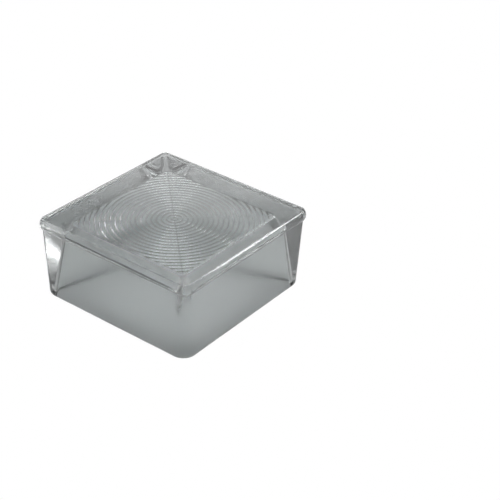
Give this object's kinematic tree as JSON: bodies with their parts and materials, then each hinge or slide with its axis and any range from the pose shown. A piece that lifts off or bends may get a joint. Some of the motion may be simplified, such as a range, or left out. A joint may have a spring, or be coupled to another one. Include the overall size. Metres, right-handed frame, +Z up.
{
  "type": "glass block",
  "caption": "Square pressed-glass pavement light: smooth flat top, rounded bead under its edge, satin sides and an open hollow below with a ringed, vaulted ceiling that spreads daylight.",
  "frame": {"origin": "centre of the block on the floor, in the plane of its foot", "axes": "+Z up through the flat top face; X and Y along the sides"},
  "size_m": [0.1948, 0.1948, 0.088],
  "materials": {
    "glass": "gloss"
  },
  "bodies": {
    "root": {"glass_block": "glass"}
  },
  "joints": []
}
